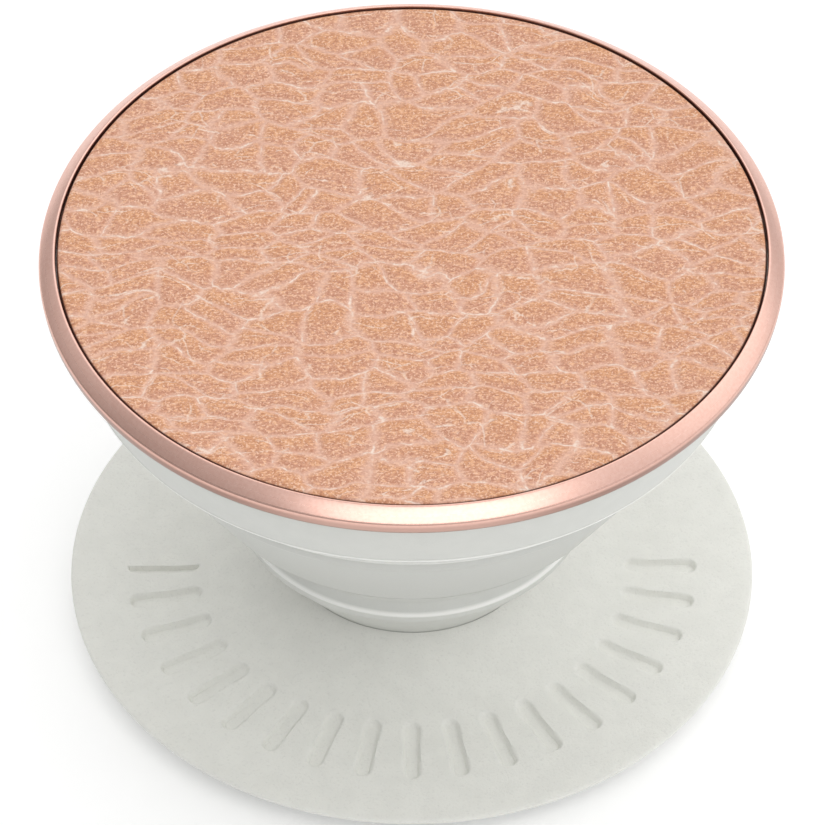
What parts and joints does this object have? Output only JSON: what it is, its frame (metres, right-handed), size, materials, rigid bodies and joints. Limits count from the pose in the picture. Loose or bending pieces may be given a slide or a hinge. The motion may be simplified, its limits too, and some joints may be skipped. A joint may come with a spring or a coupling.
{
  "type": "phone grip",
  "caption": "Collapsible grip for the back of a phone: a round leather-topped disc with a metal rim on a folding rubber bellows that turns in a thin round base.",
  "frame": {"origin": "centre of the gel pad's underside, where the grip meets the phone", "axes": "+Z is the axis of the grip, from the phone towards the leather top; the marks on the base are centred on -Y"},
  "size_m": [0.0398, 0.0398, 0.0268],
  "materials": {
    "base_skin": "matte, faintly pebbled",
    "bellows_rubber": "satin",
    "stiff_plastic": "fine matte",
    "washer_plastic": "smooth",
    "ring_metal": "satin rose-gold anodising",
    "tan_leather": "milled grain, semi-matte",
    "adhesive_film": "smooth",
    "clear_film": "smooth clear",
    "gel": "tacky gloss"
  },
  "bodies": {
    "base": {"gel_pad": "gel", "pad_carrier": "clear_film", "pad_bond_film": "adhesive_film", "platform_core": "stiff_plastic", "platform_skin": "base_skin", "retaining_plate": "stiff_plastic", "index_post": "stiff_plastic", "glide_washer": "washer_plastic"},
    "lower_tier": {"foot_ring": "stiff_plastic", "lower_cone": "bellows_rubber", "lower_fold": "bellows_rubber"},
    "middle_tier": {"middle_cone": "bellows_rubber", "upper_fold": "bellows_rubber"},
    "upper_tier": {"upper_skirt": "bellows_rubber", "lock_plate": "stiff_plastic"},
    "top": {"twist_key": "stiff_plastic", "top_disc": "stiff_plastic", "trim_ring": "ring_metal", "inlay_adhesive": "adhesive_film", "leather_inlay": "tan_leather"}
  },
  "joints": [
    {"name": "grip_swivel", "type": "hinge", "parent": "base", "child": "lower_tier", "pos_m": [0, 0, 0], "axis": [0, 0, 1], "continuous": true},
    {"name": "lower_pop", "type": "slide", "parent": "lower_tier", "child": "middle_tier", "axis": [0, 0, 1], "range_m": [-0.00932, 0], "deforming": ["lower_fold"]},
    {"name": "upper_pop", "type": "slide", "parent": "middle_tier", "child": "upper_tier", "axis": [0, 0, 1], "range_m": [-0.0063, 0], "deforming": ["upper_fold"]},
    {"name": "release_twist", "type": "hinge", "parent": "upper_tier", "child": "top", "pos_m": [0, 0, 0.0254], "axis": [0, 0, 1], "range_deg": [0, 90]}
  ]
}
